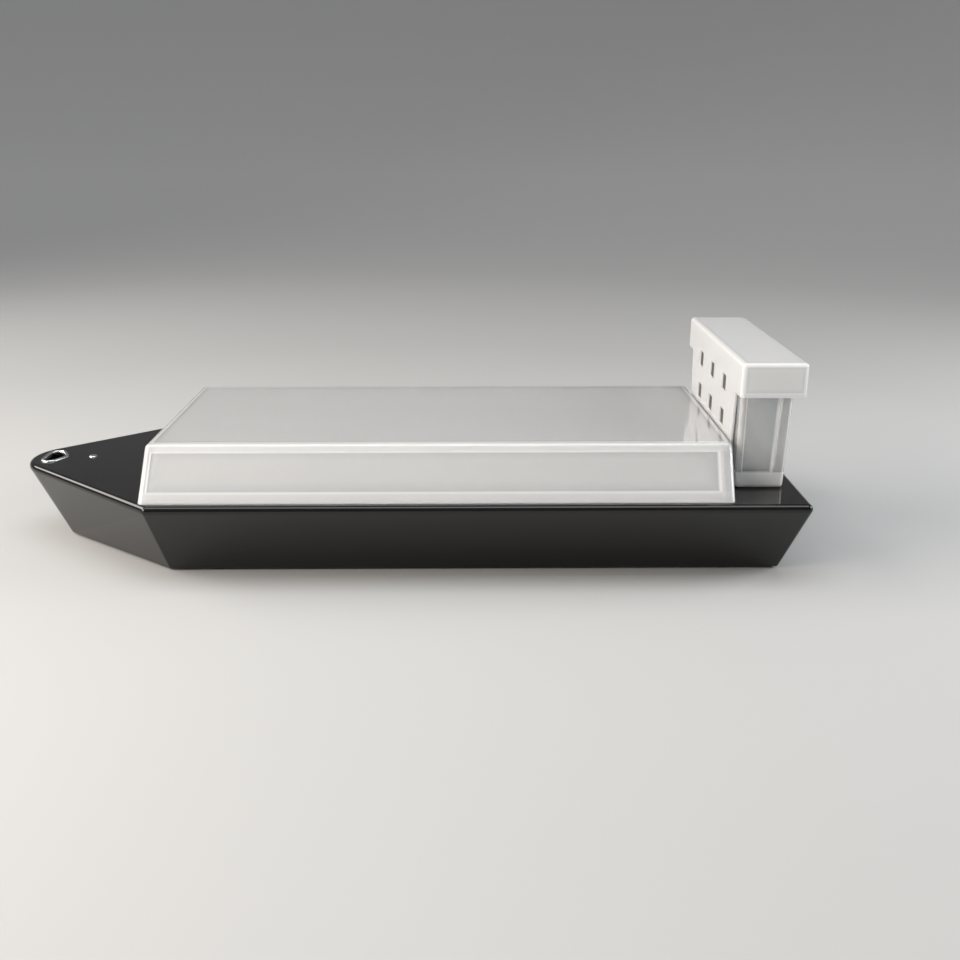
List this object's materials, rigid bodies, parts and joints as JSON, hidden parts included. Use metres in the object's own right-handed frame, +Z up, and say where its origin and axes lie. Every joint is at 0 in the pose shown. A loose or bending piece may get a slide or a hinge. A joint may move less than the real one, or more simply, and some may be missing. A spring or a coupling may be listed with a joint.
{
  "type": "display case",
  "caption": "Ship-shaped display case: gloss black hull, frosted hold cover that lifts off, and a frosted bridge tower under a lift-off cap with a windowed front.",
  "frame": {"origin": "on the table under the foot pads, midway between bow tip and transom, on the centre line", "axes": "+X towards the stern along the ship, -Y the port side, +Z up"},
  "size_m": [0.2006, 0.0806, 0.0534],
  "materials": {
    "hull": "mirror gloss black moulding",
    "bottom_plate": "matte black moulding",
    "screws": "zinc plated steel",
    "foot_pads": "soft black rubber",
    "hold_floor": "frosted translucent",
    "hold_cover": "milky translucent, satin face",
    "tower_box": "milky translucent, satin face",
    "tower_cap": "milky white, nearly opaque",
    "windows": "dark grey, satin"
  },
  "bodies": {
    "hull_body": {"hull": "hull", "bottom_plate": "bottom_plate", "bottom_screws": "screws", "foot_pad_bow_port": "foot_pads", "foot_pad_bow_starboard": "foot_pads", "foot_pad_stern_port": "foot_pads", "foot_pad_stern_starboard": "foot_pads", "hold_floor": "hold_floor", "hold_floor_screws": "screws", "tower_box": "tower_box", "tower_screws": "screws"},
    "hold_cover_body": {"hold_cover": "hold_cover"},
    "tower_cap_body": {"tower_cap": "tower_cap", "window_upper_port": "windows", "window_upper_middle": "windows", "window_upper_starboard": "windows", "window_lower_port": "windows", "window_lower_middle": "windows", "window_lower_starboard": "windows"}
  },
  "joints": [
    {"name": "hold_cover_lift", "type": "slide", "parent": "hull_body", "child": "hold_cover_body", "axis": [0, 0, 1], "range_m": [0, 0.04]},
    {"name": "tower_cap_lift", "type": "slide", "parent": "hull_body", "child": "tower_cap_body", "axis": [0, 0, 1], "range_m": [0, 0.045]}
  ]
}
